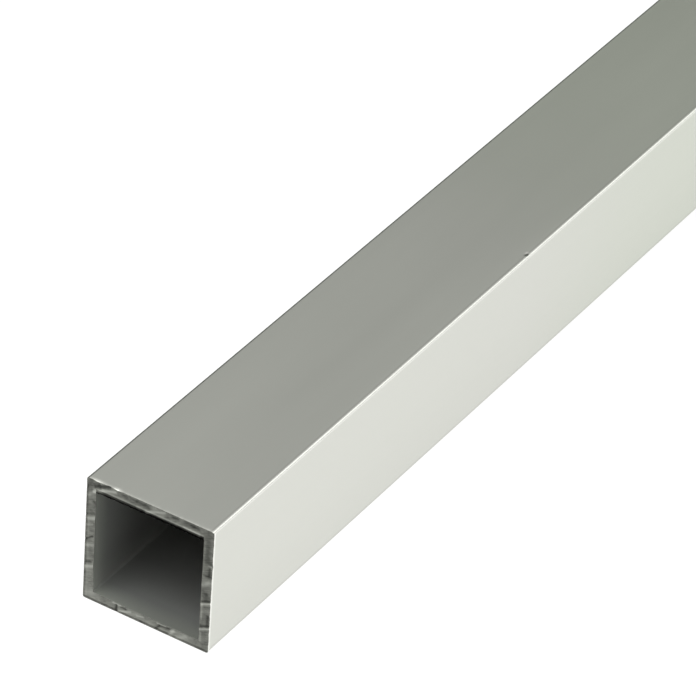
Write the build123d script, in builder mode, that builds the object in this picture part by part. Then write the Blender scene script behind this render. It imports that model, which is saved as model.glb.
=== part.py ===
from build123d import *
from math import pi
import os

# Square metal tube: one length of extruded aluminium, hollow right through and
# sawn square at both ends.  It lies on one of its flats, along X.  The origin
# is the centre of its footprint, so the underside is at Z = 0.

# Driving dimensions, in millimetres.
side = 20.0  # outside width and height of the square section
wall = 1.5  # wall thickness, the same on all four sides
length = 1000.0  # the length that the stock is sold in
outer_radius = 0.3  # the die's small round on the four outer arrises
inner_radius = 0.3  # the die's small round in the four inner corners

# What follows from them.
bore = side - 2 * wall  # clear width and height of the hollow
mid_height = side / 2  # height of the tube's axis above the floor
front_cut = Plane.YZ.offset(-length / 2)  # the first saw cut; its normal is +X

with BuildPart() as square_tube:
    # The section as the die gives it: a rounded square with a rounded square
    # hollow.  On this plane the sketch's x is the tube's Y, and its y is Z.
    with BuildSketch(front_cut) as section:
        with Locations((0, mid_height)):
            RectangleRounded(side, side, outer_radius)
            RectangleRounded(bore, bore, inner_radius, mode=Mode.SUBTRACT)
    # The press pushes the metal straight out, so the section never changes
    # between the two saw cuts.
    extrude(amount=length)

square_tube.part.label = "square_tube"

# The metal in the section, found from the solid and again by formula: the two
# squares' difference, where each set of four rounds takes (4 - pi) r^2 away.
metal_area = square_tube.part.volume / length
outer_area = side**2 - (4 - pi) * outer_radius**2
bore_area = bore**2 - (4 - pi) * inner_radius**2
print(f"solids {len(square_tube.part.solids())}, faces {len(square_tube.part.faces())}")
print(f"metal in the section {metal_area:.3f} mm2, by formula {outer_area - bore_area:.3f} mm2")

os.makedirs("parts", exist_ok=True)
export_step(square_tube.part, "parts/square_tube.step")
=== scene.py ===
# %% [markdown]
# # A length of square aluminium tube
# The object is one piece of stock: a square tube that was pushed out of a die, given a satin finish
# and sawn to length.  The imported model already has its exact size, so it is loaded first, and
# everything here is made in the same metres and along the same axes.  The tube lies along X with
# its underside at Z = 0, and the saw cut that is looked at closely is the one at the low end of X.

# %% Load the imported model
from math import asin, cos, degrees, pi, radians, sin

import bpy
import numpy as np
from mathutils import Matrix, Vector


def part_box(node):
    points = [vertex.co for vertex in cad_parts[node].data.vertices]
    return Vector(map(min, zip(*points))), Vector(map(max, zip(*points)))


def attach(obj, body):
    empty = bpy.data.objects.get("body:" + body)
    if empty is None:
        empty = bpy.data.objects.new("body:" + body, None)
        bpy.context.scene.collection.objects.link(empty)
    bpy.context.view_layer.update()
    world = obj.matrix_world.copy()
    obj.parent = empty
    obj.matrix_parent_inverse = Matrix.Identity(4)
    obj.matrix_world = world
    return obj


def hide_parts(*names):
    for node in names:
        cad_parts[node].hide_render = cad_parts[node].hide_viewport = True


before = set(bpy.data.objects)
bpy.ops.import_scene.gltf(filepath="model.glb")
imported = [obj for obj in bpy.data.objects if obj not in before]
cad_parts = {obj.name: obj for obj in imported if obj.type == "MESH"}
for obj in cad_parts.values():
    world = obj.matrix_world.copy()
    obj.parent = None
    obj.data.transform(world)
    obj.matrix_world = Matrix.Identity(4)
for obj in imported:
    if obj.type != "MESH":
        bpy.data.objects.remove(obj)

scene = bpy.context.scene
scene.view_settings.view_transform = "Standard"
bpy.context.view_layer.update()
low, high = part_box("square_tube")
metre = 1000.0  # in millimetres
print("the packed tube measures", [round(metre * size, 2) for size in high - low], "mm")

# %% The sizes that the looks are worked out from, in millimetres
length = (high.x - low.x) * metre
side = (high.z - low.z) * metre
axis_height = (high.z + low.z) / 2 * metre
wall = 1.5
bore = side - 2 * wall
half, inner_half = side / 2, bore / 2
corner_round = 0.3  # the outer corners and the inner ones have the same small round
print("outside", round(side, 2), "mm, bore", round(bore, 2), "mm, wall", wall, "mm")

# %% [markdown]
# ## The camera
# The stock is seen from a little over 0.6 m away with a long lens, so its edges run off
# nearly parallel.  A short lens close by would make the sawn end swell and the far part
# shrink.  The camera stands before the sawn end, to its right and above it.  It is turned
# about the upright, tipped down, and then leaned a few degrees about its own line of sight,
# as a camera in the hand is.

# %% Set up the camera
camera_from_end = Vector((-417.44, -269.68, 389.88)) / metre
turned, tipped, leaned = radians(-59.913), radians(54.608), radians(4.293)
sensor_width, lens, sight_limit = 36, 248.9, 100  # the first two in millimetres, the last in metres

camera = bpy.data.objects.new("camera", bpy.data.cameras.new("camera"))
camera.data.sensor_width = sensor_width
camera.data.lens = lens
camera.data.clip_end = sight_limit
camera.location = Vector((low.x, 0, axis_height / metre)) + camera_from_end
turned_and_tipped = Matrix.Rotation(turned, 3, "Z") @ Matrix.Rotation(tipped, 3, "X")
camera.rotation_euler = (turned_and_tipped @ Matrix.Rotation(leaned, 3, "Z")).to_euler()
scene.collection.objects.link(camera)
scene.camera = camera
print("the camera is", round(camera_from_end.length, 3), "m from the sawn end")

# %% [markdown]
# ## Writing materials as sums
# A material is a circuit of nodes, but its maths is easier to read as maths.  `Value` wraps one
# output of a node, and each operator adds the Math node that works the sum out.  `Finish` holds the
# circuit of one material, and its `node` method adds every other kind of node.

# %% Sums of node outputs
class Value:
    """One output of a node, to be used in a sum."""

    def __init__(self, finish, socket):
        self.finish = finish
        self.socket = socket

    def maths(self, operation, *terms):
        """The result of a Math node.  A term can be a Value or a plain number."""
        return self.finish.node("ShaderNodeMath", {"operation": operation}, dict(enumerate(terms)))

    def __add__(self, other):
        return self.maths("ADD", self, other)

    def __sub__(self, other):
        return self.maths("SUBTRACT", self, other)

    def __rsub__(self, other):
        return self.maths("SUBTRACT", other, self)

    def __mul__(self, other):
        return self.maths("MULTIPLY", self, other)

    def __truediv__(self, other):
        return self.maths("DIVIDE", self, other)

    def __rtruediv__(self, other):
        return self.maths("DIVIDE", other, self)

    def __pow__(self, other):
        return self.maths("POWER", self, other)

    def __neg__(self):
        return self.maths("MULTIPLY", self, -1)

    def __abs__(self):
        return self.maths("ABSOLUTE", self)

    __radd__ = __add__
    __rmul__ = __mul__

    def sine(self):
        return self.maths("SINE", self)

    def kept(self, least=0.0, most=1.0):
        """The value, held between two numbers."""
        return self.finish.node("ShaderNodeClamp", {}, {"Value": self, "Min": least, "Max": most})


print("a Value can be used with + - * / **, abs(), sine() and kept()")

# %% The stops of a colour ramp
def set_stops(ramp, stops):
    """Gives a colour ramp its stops, each a place from 0 to 1 and a colour."""
    ramp.elements.remove(ramp.elements[-1])
    ramp.elements[0].position, ramp.elements[0].color = stops[0]
    for place, colour in stops[1:]:
        ramp.elements.new(place).color = colour


print("a colour ramp can be given its stops as one list")

# %% One material and its nodes
noise_middle, noise_spread = 0.5, 0.25  # of the values that a noise node gives
mix_share, mix_first, mix_second, mix_result = 0, 6, 7, 2  # a Mix node's sockets for colours


class Finish:
    """The node circuit of a material, or of the world."""

    def __init__(self, owner):
        owner.use_nodes = True
        self.owner = owner
        self.tree = owner.node_tree
        self.tree.nodes.clear()

    def node(self, kind, settings, inputs, output=0):
        """Adds a node, sets it up, gives its inputs numbers or links, and returns one output."""
        made = self.tree.nodes.new(kind)
        for name, setting in settings.items():
            if name == "stops":
                set_stops(made.color_ramp, setting)
            else:
                setattr(made, name, setting)
        for name, value in inputs.items():
            if isinstance(value, Value):
                self.tree.links.new(value.socket, made.inputs[name])
            else:
                made.inputs[name].default_value = value
        return Value(self, made.outputs[output]) if len(made.outputs) else None

    def mix(self, share, first, second):
        """A colour that goes from the first to the second as the share goes from 0 to 1."""
        inputs = {mix_share: share, mix_first: first, mix_second: second}
        return self.node("ShaderNodeMix", {"data_type": "RGBA"}, inputs, mix_result)

    def scaled(self, colour, share):
        """A colour with its brightness changed by a share that may vary from place to place."""
        inputs = {0: colour, "Scale": share}
        return self.node("ShaderNodeVectorMath", {"operation": "SCALE"}, inputs)

    def here(self):
        """The place of the point on its own piece."""
        return self.node("ShaderNodeTexCoord", {}, {}, "Object")

    def part(self, vector, axis):
        """One of the three numbers of a vector, named by its axis."""
        return self.node("ShaderNodeSeparateXYZ", {}, {"Vector": vector}, axis)

    def noise(self, lumps, turn=(0, 0, 0), detail=2.0, roughness=0.5):
        """Cloudy noise, with lumps of the given size along X, Y and Z in metres, turned by the
        given angles.  It is the node's own value less its middle, over its spread, so it lies
        about 0, mostly between -1 and 1."""
        sizes = {"Vector": self.here(), "Rotation": turn, "Scale": lumps}
        place = self.node("ShaderNodeMapping", {"vector_type": "TEXTURE"}, sizes)
        settings = {"Vector": place, "Scale": 1.0, "Detail": detail, "Roughness": roughness}
        return (self.node("ShaderNodeTexNoise", {}, settings) - noise_middle) / noise_spread


print("a noise node's values lie mostly within", noise_spread, "of", noise_middle)

# %% [markdown]
# ## The studio
# Metal has hardly a colour of its own: it shows what it mirrors, so the room models it.  A picture
# of a real room could light it, but a formula for the room's glow needs no file and is easy to
# tune.  The upright flat mirrors the white table beside it and comes out pale.  The top mirrors the
# room some way above the horizon, so the room is dim there, and faintly green, and grows lighter
# and whiter towards the ceiling, as a studio with dark walls and a white ceiling does.  A soft lamp
# stands off to one side, where the long rounded corner mirrors it.  A broader one hangs high before
# the sawn end and shines a little way into the bore.

# %% The light of the room
horizon_glow, ceiling_glow, room_bend = 0.0, 1.6, 2.4  # the glow itself is never let above 1
green_height, white_height = 0.38, 0.56  # as the sine of the angle above the horizon
white, pale_green = (1, 1, 1, 1), (0.82, 1.0, 0.74, 1)

scene.world = bpy.data.worlds.new("room")
room = Finish(scene.world)
direction = room.node("ShaderNodeTexCoord", {}, {}, "Generated")
upward = room.part(direction, "Z").kept()
glow = (horizon_glow + (ceiling_glow - horizon_glow) * upward**room_bend).kept()
whiteness = ((upward - green_height) / (white_height - green_height)).kept()
room_colour = room.mix(whiteness, pale_green, white)
backdrop = room.node("ShaderNodeBackground", {}, {"Color": room_colour, "Strength": glow})
room.node("ShaderNodeOutputWorld", {}, {"Surface": backdrop})
full_height = ((1 - horizon_glow) / (ceiling_glow - horizon_glow)) ** (1 / room_bend)
print("the room glows fully from", round(degrees(asin(full_height))), "degrees above the horizon")

# %% The two soft lamps
def softbox(name, bearing, height, distance, width, radiance):
    """A square lamp that faces the sawn end, from a bearing and a height that are in degrees.

    A flat lamp of power P and area A has a radiance of P / (pi A).
    """
    lamp = bpy.data.objects.new(name, bpy.data.lights.new(name, "AREA"))
    lamp.data.size = width
    lamp.data.energy = radiance * pi * width**2
    around, up = radians(bearing), radians(height)
    towards = Vector((cos(up) * cos(around), cos(up) * sin(around), sin(up)))
    lamp.location = Vector((low.x, 0, 0)) + towards * distance
    lamp.rotation_euler = towards.to_track_quat("Z", "Y").to_euler()
    lamp.visible_camera = False
    scene.collection.objects.link(lamp)
    print(name, "gives", round(lamp.data.energy), "W from a square of", width, "m")


softbox("soft_lamp", bearing=-35, height=30, distance=6, width=5.0, radiance=1.1)
softbox("front_lamp", bearing=165, height=68, distance=6, width=5.5, radiance=2.2)

# %% [markdown]
# ## Surfaces from grids
# A shape could be pulled out of a ready-made cube by hand, but a formula can be read, checked and
# changed.  So every shape here is a grid of points that numpy works out at once, and each cell of
# the grid becomes a face.  Where a grid closes on itself, its last row or column joins its first.
# A face shows its front on the side from which its corners run anticlockwise.

# %% Tools for surfaces
def grid_faces(rows, columns, rows_close=False, columns_close=False):
    """The corners of each cell of a grid, as (row, column) numbers that may run 1 past the end."""
    row, column = np.meshgrid(
        np.arange(rows if rows_close else rows - 1),
        np.arange(columns if columns_close else columns - 1),
        indexing="ij",
    )
    corners = [(row, column), (row + 1, column), (row + 1, column + 1), (row, column + 1)]
    return np.stack([np.stack(corner, -1) for corner in corners], 2).reshape(-1, 4, 2)


def mesh_from_grid(name, points, faces):
    """A mesh whose points are in metres, with the cells of grid_faces as its faces."""
    rows, columns = points.shape[:2]
    numbers = faces[..., 0] % rows * columns + faces[..., 1] % columns
    mesh = bpy.data.meshes.new(name)
    mesh.from_pydata(points.reshape(-1, 3), [], numbers)
    mesh.shade_smooth()
    return mesh


def add_object(name, mesh):
    made = bpy.data.objects.new(name, mesh)
    scene.collection.objects.link(made)
    return made


open_grid, closed_grid = grid_faces(3, 4), grid_faces(3, 4, True, True)
print("3 x 4 points make", len(open_grid), "faces, or", len(closed_grid), "where the grid closes")

# %% [markdown]
# ## The table
# A plain flat table would end in a line across the picture.  So a studio lays small work on a white
# sheet of card that is flat under it and curls up gently at its far rim, because that has no edge
# to see.  The card gives off light to the camera and to reflections, so that it reads as white,
# and it glows a little more by the sawn end, where the lamps are aimed, as a painted pool of light.
# The rest of its brightness is real light falling on it, which keeps the tube's soft shadow.

# %% The table's shape
table_reach, table_flat, rim_height, table_cells = 32.0, 25.0, 2.5, 64
table_gap = 1e-5  # the table is this much below the tube, so that the two flat faces don't fight


def table_surface():
    """A square sheet: at a distance r from the middle its height is 0 up to the flat part's edge,
    and from there it is the rim's height times t squared, as t goes from 0 to 1 at its side."""
    along = np.linspace(-table_reach, table_reach, table_cells + 1)
    x, y = np.meshgrid(along, along, indexing="ij")
    t = np.clip((np.hypot(x, y) - table_flat) / (table_reach - table_flat), 0, 1)
    return np.stack([x, y, low.z - table_gap + rim_height * t**2], -1)


table_points = table_surface()
table_faces = grid_faces(*table_points.shape[:2])
table = add_object("table", mesh_from_grid("table", table_points, table_faces))
print("the table is", 2 * table_reach, "m across, in", len(table.data.polygons), "faces")

# %% The table's card
card_colour, lit_share = (0.9, 0.9, 0.9, 1), 0.25
# The pool glow is a painted pool of light on the card, fading with distance from the sawn end.
card_glow, painted_pool_glow, pool_reach = 1.085, 0.12, 0.08  # the reach is in metres
ray_kinds = ("Camera", "Glossy", "Transmission")


def new_finish(name):
    return Finish(bpy.data.materials.new(name))


card = new_finish("white_card")
rays = [card.node("ShaderNodeLightPath", {}, {}, f"Is {ray} Ray") for ray in ray_kinds]
seen = sum(rays).kept()
spots = {0: card.here(), 1: (low.x, 0, low.z)}
from_end = card.node("ShaderNodeVectorMath", {"operation": "DISTANCE"}, spots, "Value")
glowing = card_glow + painted_pool_glow / (1 + (from_end / pool_reach) ** 2)
matt = card.node("ShaderNodeBsdfDiffuse", {}, {"Color": card_colour})
shining = card.node("ShaderNodeEmission", {}, {"Color": white, "Strength": glowing})
both = card.node("ShaderNodeMixShader", {}, {0: seen * (1 - lit_share), 1: matt, 2: shining})
card.node("ShaderNodeOutputMaterial", {}, {"Surface": both})
table.data.materials.append(card.owner)
print("the card gives off", card_glow, "and by the sawn end", round(card_glow + painted_pool_glow, 2))

# %% [markdown]
# ## The section
# An extrusion has one section from end to end, so the tube is that section carried along a
# path.  The outer outline and the bore are both squares with rounded corners.  A bevel would
# round them too, but here both are cut into the same number of points, so that each point
# outside has its partner inside.  Only one side is worked out, and it is turned to make the
# others, so that all four come out alike.

# %% A square with rounded corners
run_cells, round_cells = 150, 6
side_cells = run_cells + round_cells
section_points = 4 * side_cells


def rounded_square(width, radius):
    """The outline of the section in Y and Z, in millimetres from its middle.  It starts at the top
    left corner as the sawn end is looked at.

    One side runs straight from one corner to the next, and its corner is a quarter circle: the
    corner's own centre plus radius times (cos a, sin a).  The other three are the same, turned by
    quarter turns.
    """
    straight = width / 2 - radius
    run = np.linspace(straight, -straight, run_cells, endpoint=False)
    turn = np.linspace(pi / 2, pi, round_cells, endpoint=False)
    y = np.concatenate([run, -straight + radius * np.cos(turn)])
    z = np.concatenate([np.full(run_cells, width / 2), straight + radius * np.sin(turn)])
    quarters = [(y, z), (-z, y), (-y, -z), (z, -y)]
    return np.concatenate([np.stack(quarter, -1) for quarter in quarters])


outside, inside = rounded_square(side, corner_round), rounded_square(bore, corner_round)
print("the section has", section_points, "points outside and as many inside")

# %% [markdown]
# ## The skin of the tube
# A long box with another cut out of it would be a tube too, but its large flat faces would
# have no points to move, and the saw's marks need many.  So the whole skin is one closed
# sheet, like a doughnut's: along the outside from the front cut to the back cut, across the
# back cut to the bore, back through the bore, and across the front cut to the outside again.
# Rows are close together where the metal has detail, at the cuts and at one small dent, and
# far apart where nothing happens.

# %% Where the rows lie
end_steps = np.array([0, 0.12, 0.3, 0.6, 1.2, 2.5, 6, 15, 40])
cut_cells, dent_rows = 15, 13
dent_x, dent_y, dent_reach = -420.22, -9.46, 0.75
front, back = -length / 2, length / 2

near_dent = dent_x + np.linspace(-dent_reach, dent_reach, dent_rows)
middle = np.array([-400, -200, 0, 200])
outside_x = np.concatenate([front + end_steps, near_dent, middle, back - end_steps[::-1]])
inside_x = np.concatenate([back - end_steps, middle[::-1], front + end_steps[::-1]])
across = np.linspace(0, 1, cut_cells + 1)[1:-1]

back_cut_x, front_cut_x = np.full(len(across), back), np.full(len(across), front)
row_x = np.concatenate([outside_x, back_cut_x, inside_x, front_cut_x])
row_in = np.concatenate([0 * outside_x, across, 1 + 0 * inside_x, across[::-1]])
rows = len(row_x)
print(rows, "rows round the tube's skin, so", 2 * rows * section_points, "triangles")

# %% The plain skin
def plain_skin():
    """Point (i, j) has row i's X, and its Y and Z lie between point j of the outer outline and
    point j of the inner one, by row i's share."""
    share = row_in[:, None, None]
    yz = (1 - share) * outside + share * inside
    x = np.broadcast_to(row_x[:, None, None], (rows, section_points, 1))
    return np.concatenate([x, yz], -1)


skin = plain_skin()
# Each face's corners are taken the other way round, so that it faces outwards.
faces = grid_faces(rows, section_points, True, True)[:, ::-1]
corner_points = faces[..., 0] % rows * section_points + faces[..., 1] % section_points


def volume():
    """The volume inside the closed skin: each face's two triangles make two thin pyramids with the
    origin, and a pyramid's volume is a sixth of the triple product of its three edges.  It comes
    out above 0 when the faces point outwards."""
    a, b, c, d = (skin.reshape(-1, 3)[corner_points[:, k]] for k in range(4))
    return (a * (np.cross(b, c) + np.cross(c, d))).sum() / 6


plain_volume = volume()
cubic_centimetre = 1000.0  # in cubic millimetres
print("metal in the plain skin:", round(plain_volume / cubic_centimetre, 3), "cm3")

# %% [markdown]
# ## What the saw leaves
# A coarse saw doesn't leave a flat face.  Each tooth that bites too hard tears a score across the
# wall, with a groove on its upper side and a pushed-up lip below it.  Most of the scores slant the
# same way, because they follow the blade, and some run along a wall, where its edge broke away.  A
# bump in the material could hint at them, but the exported shape would stay flat.  So they are real
# relief here, a few hundredths of a millimetre deep, and the same numbers paint shade into the
# grooves and highlights onto the lips.
#
# Each score runs from one point of the cut to another.  The points are in millimetres from
# the middle of the section: Y is positive to the left as the cut is looked at, and Z is
# upwards.  The groove and the lip are each given a strength, and where strengths add up to
# more than 1, only 1 of it counts.

# %% The scores of the left wall: from (y, z), to (y, z), width, groove, lip
left_wall_scores = [
    (9.8, 8.4, 8.9, 9.6, 0.45, 0.55, 0.0),
    (9.2, 8.6, 9.3, 3.5, 0.70, 0.2, 0.0),
    (9.8, 7.2, 8.5, 8.6, 0.30, 0.0, 0.45),
    (8.9, 6.4, 8.5, 5.9, 0.25, 0.6, 0.0),
    (9.2, 4.9, 8.5, 5.3, 0.35, 0.4, 0.0),
    (9.9, 3.75, 8.6, 4.35, 0.22, 0.6, 0.0),
    (9.7, 3.5, 8.6, 3.95, 0.36, 0.0, 0.75),
    (9.9, 2.3, 8.9, 2.7, 0.15, 0.0, 0.35),
    (9.95, -0.35, 8.75, 0.6, 0.15, 1.0, 0.0),
    (9.8, -0.95, 8.8, -0.6, 0.35, 0.0, 0.4),
    (9.6, -3.95, 8.9, -3.75, 0.22, 0.8, 0.0),
    (9.95, -4.65, 8.5, -4.0, 0.32, 0.0, 0.7),
    (9.9, -8.7, 8.7, -8.1, 0.70, 0.0, 0.35),
    (9.67, 8.6, 9.67, -9.6, 0.20, 0.4, 0.25),
]
print(len(left_wall_scores), "scores on the left wall")

# %% The scores of the right wall
right_wall_scores = [
    # The first two are broad and shallow and run down the right wall, where they mostly paint it
    # darker, as painted shade.
    (-9.5, 9.6, -9.5, 4.9, 0.60, 0.6, 0.0),
    (-9.4, 4.9, -9.4, -9.6, 0.90, 0.2, 0.0),
    (-8.6, 8.0, -8.6, 3.0, 0.12, 0.4, 0.35),
    (-9.4, 4.4, -9.9, 4.4, 0.15, 0.0, 0.6),
    (-9.75, 3.8, -9.75, 2.6, 0.25, 0.85, 0.0),
    (-9.1, 2.45, -9.9, 2.5, 0.12, 0.8, 0.0),
    (-8.6, 1.0, -9.6, 1.8, 0.32, 0.0, 0.6),
    (-9.5, -0.5, -9.5, -1.4, 0.40, 0.6, 0.0),
    (-8.75, -1.95, -9.9, -1.5, 0.14, 1.0, 0.0),
    (-8.6, -2.25, -9.95, -1.60, 0.18, 0.0, 1.0),
    (-8.67, -2.3, -8.67, -4.8, 0.14, 0.0, 0.5),
    (-9.8, -4.0, -9.8, -5.7, 0.22, 0.9, 0.0),
    (-8.6, -6.2, -9.9, -5.65, 0.14, 1.0, 0.0),
    (-8.5, -6.45, -9.95, -5.68, 0.25, 0.0, 0.85),
    (-8.65, -7.1, -8.65, -8.5, 0.18, 0.0, 0.5),
]
print(len(right_wall_scores), "scores on the right wall")

# %% The scores of the top wall
top_wall_scores = [
    (8.6, 8.85, 6.3, 9.85, 0.22, 1.1, 0.0),
    (8.8, 8.2, 7.5, 9.0, 0.22, 0.0, 1.1),
    (7.5, 9.0, 5.5, 9.6, 0.20, 0.0, 0.8),
    (5.0, 9.6, 3.6, 9.4, 0.22, 0.5, 0.0),
    (4.2, 9.15, 2.4, 8.85, 0.30, 0.35, 0.0),
    (3.2, 9.6, 2.2, 9.3, 0.20, 0.5, 0.0),
    (2.0, 9.3, 0.3, 9.2, 0.36, 0.75, 0.0),
    (8.2, 9.5, 7.9, 8.9, 0.25, 0.7, 0.0),
    (0.6, 8.75, -2.3, 9.85, 0.22, 0.0, 0.55),
    (-3.6, 9.5, -4.4, 9.4, 0.25, 0.6, 0.0),
    (-5.5, 9.5, -6.8, 9.3, 0.30, 0.5, 0.0),
    (-7.0, 9.4, -7.6, 9.3, 0.28, 0.6, 0.0),
    (-2.6, 9.3, -8.0, 9.3, 0.50, 0.25, 0.0),
    (8.0, 8.86, -8.3, 8.86, 0.15, 0.0, 0.40),
    (-5.4, 8.95, -7.8, 8.85, 0.18, 0.0, 0.5),
]
print(len(top_wall_scores), "scores on the top wall")

# %% The scores of the bottom wall, and all of them together
bottom_wall_scores = [
    (4.50, -8.9, 4.50, -9.85, 0.20, 1.2, 0.0),
    (5.1, -8.60, 3.9, -8.60, 0.14, 0.0, 0.8),
    (3.9, -8.95, 3.1, -8.95, 0.12, 0.8, 0.0),
    (4.3, -9.6, 2.4, -8.9, 0.20, 0.0, 0.7),
    (1.3, -9.0, 0.3, -8.8, 0.15, 0.0, 0.6),
    (-1.8, -9.85, -2.3, -9.2, 0.16, 1.0, 0.0),
    (-2.3, -9.05, -3.9, -8.95, 0.16, 1.0, 0.0),
    (-2.0, -8.7, -3.3, -8.7, 0.12, 0.0, 0.8),
    (-4.1, -9.0, -4.6, -8.8, 0.15, 0.0, 0.8),
    (-3.9, -9.7, -4.5, -8.8, 0.20, 0.0, 0.5),
    (-5.0, -9.6, -6.5, -8.8, 0.25, 0.0, 0.5),
    # This one runs along the outer edge of the bottom wall as a thin line of painted shade.
    (9.8, -9.80, -9.8, -9.80, 0.12, 0.65, 0.0),
    (8.6, -8.8, -8.8, -8.8, 0.80, 0.0, 0.12),
    (8.6, -9.36, -8.8, -9.36, 0.20, 0.0, 0.12),
]
front_scores = np.array(left_wall_scores + right_wall_scores + top_wall_scores + bottom_wall_scores)
print(len(bottom_wall_scores), "scores on the bottom wall,", len(front_scores), "on the whole cut")

# %% [markdown]
# The back cut was made by the same saw, but nobody looks at it as closely.  Copying the front
# scores would make twins of the two ends, so a rule lays these: they cross the whole section at an
# even pitch and at one slant, and the bore leaves only the stretches that fall on the walls.

# %% The scores of the back cut
scores_each_way, score_pitch, score_slant = 3, 4.4, 0.35
score_width, score_groove, score_lip = 0.25, 0.9, 0.8
heights = np.arange(-scores_each_way, scores_each_way + 1) * score_pitch
drop = score_slant * half
back_scores = np.array(
    [(half, z - drop, -half, z + drop, score_width, score_groove, score_lip) for z in heights]
)
print(len(back_scores), "scores on the back cut, one each", score_pitch, "mm")

# %% From scores to marks
def scored(yz, scores):
    """How far each point of a cut is torn down (to -1) or pushed proud (to 1) of its plain face.

    Across a score, with s the distance below its line in widths, there is a groove of
    -groove * exp(-(s + 0.5)^2) and a lip of +lip * exp(-(s - 0.5)^2).  Both fade past the score's
    two ends by exp(-e^2), where e is the distance past the end in widths.
    """
    start, end = scores[:, 0:2], scores[:, 2:4]
    width, groove, lip = scores[:, 4], scores[:, 5], scores[:, 6]
    run = end - start
    reach = np.linalg.norm(run, axis=1)
    run = run / reach[:, None]
    below = np.stack([run[:, 1], -run[:, 0]], -1)
    below = below * np.where(below[:, 1:] > 0, -1, 1)
    from_start = yz[..., None, :] - start
    along = (from_start * run).sum(-1)
    s = (from_start * below).sum(-1) / width
    past = np.maximum(np.maximum(-along, along - reach), 0) / width
    marks = lip * np.exp(-((s - 0.5) ** 2)) - groove * np.exp(-((s + 0.5) ** 2))
    return (marks * np.exp(-(past**2))).sum(-1).clip(-1, 1)


front_marks = scored(skin[..., 1:], front_scores)
back_marks = scored(skin[..., 1:], back_scores)
print("the front cut's marks go from", front_marks.min().round(2), "to", front_marks.max().round(2))

# %% Press the scores into the skin
def fading(distance, reach):
    """1 at a distance of 0, falling to 0 at the reach, as the square of what is left of the way."""
    return np.clip(1 - distance / reach, 0, 1) ** 2


relief_depth, relief_reach = 0.07, 1.0
from_front, from_back = skin[..., 0] - front, back - skin[..., 0]
skin[..., 0] -= relief_depth * front_marks * fading(from_front, relief_reach)
skin[..., 0] += relief_depth * back_marks * fading(from_back, relief_reach)
print("the scores change the metal by", round(volume() - plain_volume, 3), "mm3")

# %% [markdown]
# ## Burrs, a bevel and a dent
# The saw pushes a thin ragged burr out over the right edge of the cut, and others hang into
# the bore from the top wall and the left one.  Along the top edge the burr has been rubbed
# down again, which left a small bevel.  Long after, something hard knocked a dent beside the
# upper corner.  Slivers of metal laid on the edges could stand for the burrs, but a burr is
# part of the tube and tears off with it.  So all of them move the points of the skin, and the
# tube stays one closed piece.
#
# A burr is a plain height, an uneven part that random numbers give, and a bump or two where
# more metal was pushed out.

# %% Tools for edges
rng = np.random.default_rng(seed=4)


def ragged(count, smoothing):
    """Random numbers from -1 to 1 round a closed outline, each blurred with its neighbours by a
    bell of the given width, and then stretched back to their full range."""
    steps = np.minimum(np.arange(count), count - np.arange(count))
    bell = np.exp(-((steps / smoothing) ** 2))
    blurred = np.fft.irfft(np.fft.rfft(rng.uniform(-1, 1, count)) * np.fft.rfft(bell), count)
    return blurred / abs(blurred).max()


def bump(value, middle, half_width):
    """A bell of height 1: e to the power of minus the squared distance in half widths."""
    return np.exp(-(((value - middle) / half_width) ** 2))


rough = ragged(section_points, smoothing=2.0)
turns = np.diff(np.sign(np.diff(rough))) != 0
print("the ragged edge turns", int(turns.sum()), "times round the section")

# %% How high the burrs are round the section, in millimetres
touching = 0.05  # a point this near to a face's plane counts as on that face
outline_y, outline_z = outside.T
inline_y, inline_z = inside.T
on_top, on_right = outline_z > half - touching, outline_y < touching - half
under_top, beside_left = inline_z > inner_half - touching, inline_y > inner_half - touching


def burr(wall, along, height, uneven, bumps=()):
    """A plain height, with an uneven part and some bumps added, each of a given height, middle and
    half width along the wall.  It is 0 off the wall."""
    bells = sum(peak * bump(along, middle, half_width) for peak, middle, half_width in bumps)
    return wall * (height + uneven * rough + bells)


bevel_bumps = [(0.06, 8.3, 0.9), (0.08, 5.1, 0.6)]
bevel = burr(on_top, outline_y, height=0.02, uneven=0.02, bumps=bevel_bumps)
right_burr = burr(on_right, outline_z, height=0.06, uneven=0.03, bumps=[(0.10, 4.4, 0.3)])
hanging_burr = burr(under_top, inline_y, height=0.38, uneven=0.08)
leaning_burr = burr(beside_left, inline_z, height=0.02, uneven=0.03, bumps=[(0.10, -7.5, 1.5)])
edge_heights = [edge.max().round(2) for edge in (bevel, right_burr, hanging_burr, leaning_burr)]
print("the bevel and the right, hanging and leaning burrs reach", edge_heights, "mm")

# %% Move the skin
bevel_reach, burr_reach = 0.35, 0.25
is_outside = (row_in == 0)[:, None]
is_mouth = (row_in == 1)[:, None] & (from_front == 0)

ahead = np.roll(outside, -1, 0) - np.roll(outside, 1, 0)
outward = np.stack([ahead[:, 1], -ahead[:, 0]], -1) / np.linalg.norm(ahead, axis=1, keepdims=True)
pushed = fading(from_front, burr_reach) * right_burr - fading(from_front, bevel_reach) * bevel
skin[..., 1:] += (is_outside * pushed)[..., None] * outward
skin[..., 2] -= is_mouth * hanging_burr
skin[..., 1] -= is_mouth * leaning_burr
print("the edges move by", pushed.min().round(3), "to", pushed.max().round(3), "mm")

# %% Knock in the dent
dent_depth, dent_length, dent_width, dent_lowest = 0.12, 0.33, 0.20, 0.2
on_top_face = is_outside & (skin[..., 2] > half - dent_lowest)
along_dent = bump(skin[..., 0], dent_x, dent_length)
across_dent = bump(skin[..., 1], dent_y, dent_width)
knock = on_top_face * along_dent * across_dent
skin[..., 2] -= dent_depth * knock
print("all the marks change the metal by", round(volume() - plain_volume, 2), "mm3")
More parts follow.
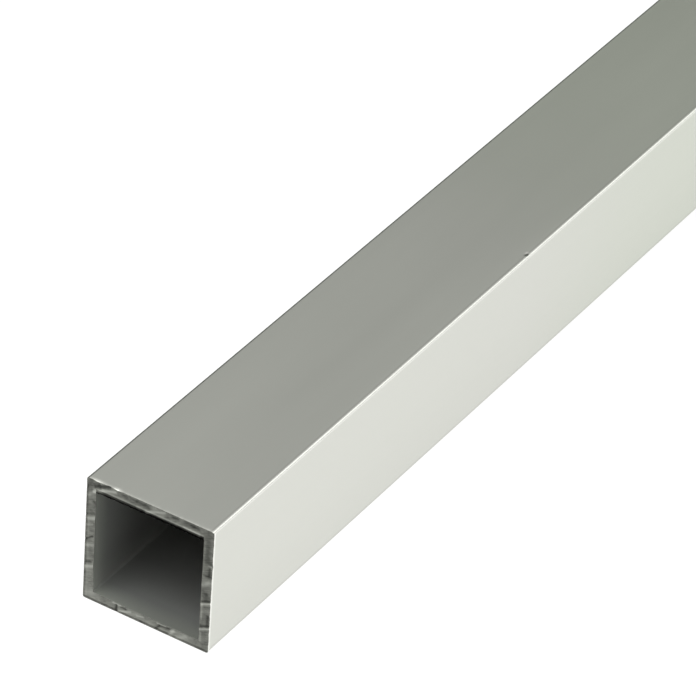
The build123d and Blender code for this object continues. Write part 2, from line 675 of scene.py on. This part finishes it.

# %% [markdown]
# ## Painted light and shade
# Light and shade are painted into the colour here.  Each point carries one number for this: below 0
# the metal is painted darker than its finish, as painted shade, and above 0 it is painted brighter,
# as a painted highlight.  A bright wall may end at a dull cut, with only a sharp edge between them,
# and a mask painted as an image would blur it.  So the walls and the cuts have a number each,
# worked out at every point, and every corner of a face takes the one of its own side.
#
# On the cuts it paints shade into the grooves of the scores and highlights onto their lips, and a
# painted shadow under the hanging burr.  On the walls it paints highlights along the rubbed bevel of
# the front cut's top edge, along its right edge and on the long corner at the top right, and shade
# on the one at the top left, beside the corners and in the dent.  Inside, the feet of the two side
# walls are painted a little lighter.

# %% The painted light and shade of the cuts
groove_shade = 0.68  # the painted shade in a groove is weaker than the painted highlight on a lip
# The painted shadow under the hanging burr: over the rim of the mouth, and deepest on its lip, a
# little lighter towards the left.
rim_start, rim_shadow, lip_shadow, lip_shadow_left, left_from = 0.9, 0.7, 1.4, 1.1, 3.0

marks = front_marks * (from_front <= 0) + back_marks * (from_back <= 0)
in_burr_shadow = (row_in > rim_start)[:, None] & (from_front <= 0) & (hanging_burr > 0)
shadow_under_lip = np.interp(inline_y, [0, left_from], [lip_shadow, lip_shadow_left])
# Painted shade in the grooves of the scores, and painted highlights on their lips.
cut_painted_light = np.where(marks < 0, groove_shade, 1) * marks
cut_painted_light -= rim_shadow * in_burr_shadow
cut_painted_light = np.where(in_burr_shadow & is_mouth, np.minimum(cut_painted_light, -shadow_under_lip), cut_painted_light)
print("the gleam of the cuts:", cut_painted_light.min().round(2), "to", cut_painted_light.max().round(2))

# %% The painted light and shade of the walls
edge_share, edge_reach = 0.5, 0.15
bevel_highlight_gain, bevel_plain, bevel_most = 4.0, 0.2, 0.3
right_edge_reach, right_edge_brightness = 0.5, 0.7
arris_shade, beside_shade, beside_width = 0.65, 0.10, 0.62
arris_highlight, below_highlight, below_width = 0.5, 0.04, 0.62
foot_painted_light, foot_reach = 0.4, 5.0
exactly = 0.01  # a point this near to a face's plane is on its flat, and not on a corner's round

# Near the cuts the walls take half of the scores' painted shade and highlights.
edge_score_shading = front_marks * fading(from_front, edge_reach)
edge_score_shading += back_marks * fading(from_back, edge_reach)
# A painted highlight along the rubbed bevel of the front cut's top edge.
bevel_highlight = fading(from_front, bevel_reach) * (bevel_highlight_gain * bevel - bevel_plain).clip(0, bevel_most)
top_flat, right_flat = outline_z > half - exactly, outline_y < exactly - half
# A painted highlight along the right edge of the front cut.
right_edge_highlight = right_flat * (from_front < right_edge_reach)
corners = np.abs(outside).min(1) > half - corner_round - touching
top_left_arris = corners & (outline_y > 0) & (outline_z > 0)
top_right_arris = corners & (outline_y < 0) & (outline_z > 0)
below_arris = right_flat & (outline_z > half - below_width)
by_right_arris = top_flat & (outline_y < beside_width - half)
by_low_arris = right_flat & (outline_z < beside_width - half)

wall_painted_light = edge_share * edge_score_shading + bevel_highlight + right_edge_brightness * right_edge_highlight
# Painted highlights on the long corner at the top right and on the flat just below it.
wall_painted_light += arris_highlight * top_right_arris + below_highlight * below_arris
# Painted shade on the long corner at the top left and on the flats beside the corners.
wall_painted_light -= arris_shade * top_left_arris + beside_shade * (by_right_arris | by_low_arris)

is_inside = (row_in == 1)[:, None]
# On the rounds between the floor and the side walls this goes from 0 to 1.
side_walls = ((np.abs(inline_y) - inner_half) / corner_round + 1).clip(0, 1)
# Painted light: the side walls inside are lighter near the floor, fading over a few millimetres.
feet_painted_light = foot_painted_light * side_walls * fading(inline_z + inner_half, foot_reach)
# The dent is painted darker, as painted shade.
wall_painted_light = is_outside * wall_painted_light + is_inside * feet_painted_light - knock
print("the gleam of the walls:", wall_painted_light.min().round(2), "to", wall_painted_light.max().round(2))

# %% [markdown]
# ## The mesh
# The skin becomes one mesh with three finishes: the satin walls outside, the dull bore, and the two
# sawn cuts.  Three pieces side by side could carry them, but their seams would show, and the real
# tube is all one.  The row of a face says which finish it has.  Smooth shading rounds the corners
# of the section, and edges sharper than 40 degrees, which are those of the cuts, stay crisp.

# %% Make the mesh
crisp_angle = 40  # in degrees
points = (skin + (0, 0, axis_height)) / metre
mesh = mesh_from_grid("square_tube_skin", points, faces)
mesh.set_sharp_from_angle(angle=radians(crisp_angle))
tube = add_object("tube", mesh)
print("the mesh has", len(mesh.vertices), "points")

# %% Tell the walls, the bore and the cuts apart
first_row, first_column = faces.min(1).T
back_row = len(outside_x) - 1
inside_row = back_row + len(across) + 1
front_row = rows - len(across) - 1
is_front_cut = first_row >= front_row
is_bore = (first_row >= inside_row) & (first_row < front_row)
is_cut = is_front_cut | ((first_row >= back_row) & (first_row < inside_row))
satin_number, bore_number, sawn_number = 0, 1, 2  # the order in which the finishes are added below
finish_number = np.where(is_cut, sawn_number, np.where(is_bore, bore_number, satin_number))
mesh.polygons.foreach_set("material_index", finish_number.astype(np.int32))
print(len(faces), "faces:", int(is_cut.sum()), "on the cuts and", int(is_bore.sum()), "in the bore")

# %% Write the painted light and shade on the mesh
cuts_there, walls_there = cut_painted_light.ravel()[corner_points], wall_painted_light.ravel()[corner_points]
gleam = np.where(is_cut[:, None], cuts_there, walls_there)
painted_light_layer = mesh.attributes.new("gleam", "FLOAT", "CORNER")
painted_light_layer.data.foreach_set("value", gleam.ravel().astype(np.float32))
print("the gleam is written at", gleam.size, "corners of faces")

# %% [markdown]
# ## A map for the bake
# If the materials are baked into one square image, a metre of tube laid out evenly on it
# would leave each sawn cut a spot 20 pixels wide.  So the piece brings a map of its own, under
# the name that the export looks for.  The four walls and the four sides of the bore are strips
# that give the two ends most of their length, and each cut has a large square to itself.

# %% The map's sizes, in pixels of the image, and the zones of the tube, in millimetres
image_side, margin = 1024, 2
walls, strip_pitch, strip_height = 4, 62, 58
square_side, square_span = 508, 20.8
end_zone, near_zone, back_zone = 3, 100, 40
zone_ends = [front, front + end_zone, front + near_zone, back - back_zone, back - end_zone, back]
strip_shares = [0, 0.06, 0.50, 0.88, 0.96, 1]
print("each cut gets", square_side, "pixels for its", round(side), "mm, each wall", strip_height)

# %% Lay the skin out flat
def strip_places():
    """Along a strip, a point's place follows its X by straight steps, steep at the ends of the tube
    and gentle in its middle.  Across the strip it follows the point's number round the section."""
    along_strip = np.interp(row_x[faces[..., 0] % rows], zone_ends, strip_shares)
    quarter = first_column[:, None] // side_cells
    strip = quarter + walls * is_bore[:, None]
    u = margin + along_strip * (image_side - 2 * margin)
    v = margin + strip * strip_pitch + (faces[..., 1] / side_cells - quarter) * strip_height
    return np.stack([u, v], -1) / image_side


def square_places():
    """A cut is laid on its square by its Y and Z, the back one beside the front one."""
    yz = skin[..., 1:].reshape(-1, 2)[corner_points]
    shift = np.where(is_front_cut, 0, square_side + 2 * margin)[:, None]
    u = margin + shift + (yz[..., 0] / square_span + 0.5) * square_side
    v = 2 * walls * strip_pitch + 2 * margin + (yz[..., 1] / square_span + 0.5) * square_side
    return np.stack([u, v], -1) / image_side


map_places = np.where(is_cut[:, None, None], square_places(), strip_places())
mesh.uv_layers.new(name="OFBake").uv.foreach_set("vector", map_places.astype(np.float32).ravel())
print("the map runs from", map_places.min((0, 1)).round(3), "to", map_places.max((0, 1)).round(3))

# %% [markdown]
# ## How the metal answers to its painted light and shade
# The three finishes end alike: in one Principled shader, with a bump that stands for relief
# too fine for the mesh, and a colour that the painted light and shade darken or brighten.  Each
# could be written out in full, but a change to one would then be missing in the others, so what
# they share is written once.  Their colours differ, and so does what their fine relief looks like,
# so each has a cell of its own.

# %% What the finishes share
def read_painted_light(finish):
    return finish.node("ShaderNodeAttribute", {"attribute_name": "gleam"}, {}, "Fac")


def painted_light_colour(finish, plain, dark, bright):
    """The plain colour, gone over to the dark one as the painted shade deepens to -1, and to the
    bright one as the painted highlight rises to 1."""
    gleam = read_painted_light(finish)
    return finish.mix(gleam.kept(), finish.mix((-gleam).kept(), plain, dark), bright)


def metal_surface(finish, colour, metallic, roughness, height, relief, **constants):
    """Ends a finish.  The height is in units of the relief, which is in metres."""
    bump_inputs = {"Strength": 1.0, "Distance": relief, "Height": height}
    looks = {
        "Base Color": colour,
        "Metallic": metallic,
        "Roughness": roughness.kept(),
        "Normal": finish.node("ShaderNodeBump", {}, bump_inputs),
    }
    surface = finish.node("ShaderNodeBsdfPrincipled", {}, looks | constants)
    finish.node("ShaderNodeOutputMaterial", {}, {"Surface": surface})
    mesh.materials.append(finish.owner)
    print(finish.owner.name, "has", len(finish.tree.nodes), "nodes")


def tint(colour, share=1.0):
    """A colour with its brightness changed, and the fourth number that a socket wants."""
    return tuple(share * part for part in colour) + (1,)

# %% [markdown]
# ## The satin walls
# Aluminium leaves the die with faint lines along its length, where the die's edge dragged.  A satin
# finish lays a fine grain over them, and handling leaves it a little cloudy.  An image of such
# metal would repeat, and blur from near by.  So each of the three is noise that is stretched along
# the tube: 15 cm for the lines, under a millimetre for the grain and 6 cm for the clouds.  They
# mostly change how sharply the metal mirrors, and only a little its colour and its height.  The
# bath that gives the finish isn't the same all through, so the silver drifts a little towards green
# and back, a wave each 24 cm.

# %% Satin
die_line, grain, cloud = (0.15, 0.0003, 0.0003), (0.0008, 0.00015, 0.00015), (0.06, 0.012, 0.012)
aluminium, cloudiness = (0.637, 0.644, 0.595), 0.012
# The dark and bright ends of the painted shade and painted highlights.
satin_shade, satin_highlight = tint(aluminium, share=0.15), (0.95, 0.95, 0.9, 1)

cloud_part, line_part, grain_part, grain_height = 0.02, 0.015, 0.01, 0.5
satin_roughness, satin_relief = 0.34, 1.5e-6
satin_greener = tint((0.613, 0.638, 0.564))
drift_wave, drift_start = 0.24, -0.42  # in metres


def drawn_metal(finish, roughness):
    """The marks that a press leaves, as a roughness, as a height, and as the clouds alone."""
    lines, grains, clouds = finish.noise(die_line), finish.noise(grain), finish.noise(cloud)
    uneven = roughness + cloud_part * clouds + line_part * lines + grain_part * grains
    return uneven, lines + grain_height * grains, clouds


satin = new_finish("satin_metal")
satin_rough, satin_height, clouds = drawn_metal(satin, satin_roughness)
drift_angle = 2 * pi / drift_wave * (satin.part(satin.here(), "X") - drift_start)
silver = satin.mix(drift_angle.sine().kept(), tint(aluminium), satin_greener)
cloudy = satin.scaled(silver, 1 + cloudiness * clouds.kept(-1, 1))
satin_colour = painted_light_colour(satin, cloudy, satin_shade, satin_highlight)
metal_surface(satin, satin_colour, 1.0, satin_rough, satin_height, satin_relief)

# %% [markdown]
# ## The bore
# Nobody finishes the inside of a tube.  It keeps the dull skin and the deeper lines of the
# press, and its mouth has a greenish cast.  A ramp on the depth sets its colour, the same from
# both ends, because the depth is measured from whichever end is nearer: lighter at the mouth and
# darker further in, which is painted shade.  Its skin of oxide and dust isn't quite a metal, so
# its metallic is a little below 1.  Towards the right the colour is painted darker at the very
# mouth and lighter a few millimetres in, as painted light.

# %% Bore
ramp_depth = 0.020  # in metres
# Painted shade: lighter and greenish at the mouth, darker further in.
painted_bore_depths = [
    (0.00, tint((0.470, 0.490, 0.440))),
    (0.15, tint((0.346, 0.355, 0.341))),
    (0.50, tint((0.286, 0.288, 0.280))),
    (0.95, tint((0.325, 0.325, 0.316))),
]
# The dark end of the painted shade, and the bright end of the painted light at the feet of the side
# walls.
bore_shade, bore_highlight = (0.05, 0.05, 0.05, 1), (0.9, 0.9, 0.88, 1)
bore_metallic, bore_roughness, bore_relief = 0.82, 0.6, 3e-6
# The painted light at its brightest, how much it darkens the very mouth, and how soon it brightens
# behind that.
right_side_most, mouth_darkening, light_climb = 0.37, 0.55, 8.0

dull = new_finish("bore_metal")
along_tube, across_tube = (dull.part(dull.here(), axis) for axis in "XY")
depth = ((high.x - abs(along_tube)) / ramp_depth).kept()
by_depth = dull.node("ShaderNodeValToRGB", {"stops": painted_bore_depths}, {"Fac": depth})
to_right = (0.5 - across_tube * (metre / bore)).kept()  # 0 at the left wall, 1 at the right one
right_side_light = right_side_most * to_right * (light_climb * depth - mouth_darkening).kept(-mouth_darkening, 1)
bore_rough, bore_height, _ = drawn_metal(dull, bore_roughness)
bore_colour = painted_light_colour(dull, dull.scaled(by_depth, 1 + right_side_light), bore_shade, bore_highlight)
metal_surface(dull, bore_colour, bore_metallic, bore_rough, bore_height, bore_relief)

# %% [markdown]
# ## The sawn cuts
# Between its deep scores the saw leaves the whole face brushed by fine strokes that slant as the
# blade ran, and mottled where metal smeared.  Both are too fine for the mesh, so they are noise in
# the material.  The noise for the strokes is long along the slant and thin across it.  Where the
# grooves are painted dark, as painted shade, the metallic falls too, so that they don't shine.

# %% Sawn metal
stroke, blade_slant = (0.001, 0.0022, 0.00025), (radians(-22), 0, 0)
smear = (0.001, 0.0012, 0.0009)
# The cut's grey is far below the walls' silver: partly the torn metal's own dull colour and partly
# painted shade.
sawn_grey_and_shade, stroke_contrast, smear_contrast, darkest_grey = 0.195, 0.35, 0.40, 0.05
green_share, blue_share = 1.02, 0.91  # of the red
# The dark end is painted shade in the grooves, and the bright end painted highlight on the lips.
sawn_shade, sawn_highlight = (0.003, 0.003, 0.003, 1), (0.42, 0.43, 0.39, 1)
sawn_roughness, rubbed_smooth, smear_part, sawn_relief = 0.55, 0.1, 0.05, 1e-5
groove_unmetallic = 0.9  # how far the metallic falls under the painted shade of a deep groove
no_shine = {"Specular IOR Level": 0.0}  # the painted shade of the grooves is matt

sawn = new_finish("sawn_metal")
crumbly = {"detail": 3.0, "roughness": 0.6}
strokes, smears = sawn.noise(stroke, blade_slant, **crumbly), sawn.noise(smear, **crumbly)
unclipped = sawn_grey_and_shade * (1 + stroke_contrast * strokes + smear_contrast * smears)
level = unclipped.kept(darkest_grey, 1)
greys = {"Red": level, "Green": green_share * level, "Blue": blue_share * level}
grey = sawn.node("ShaderNodeCombineColor", {}, greys)
sawn_colour = painted_light_colour(sawn, grey, sawn_shade, sawn_highlight)
painted_light_there = read_painted_light(sawn)
sawn_rough = sawn_roughness - rubbed_smooth * painted_light_there + smear_part * smears
metallic = 1 - groove_unmetallic * (-painted_light_there).kept()
metal_surface(sawn, sawn_colour, metallic, sawn_rough, strokes + smears, sawn_relief, **no_shine)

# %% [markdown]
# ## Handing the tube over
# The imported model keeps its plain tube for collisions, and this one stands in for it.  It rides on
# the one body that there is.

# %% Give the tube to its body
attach(tube, "root")
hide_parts("square_tube")
print("the tube has", [slot.name for slot in tube.material_slots], "and rides on the one body")
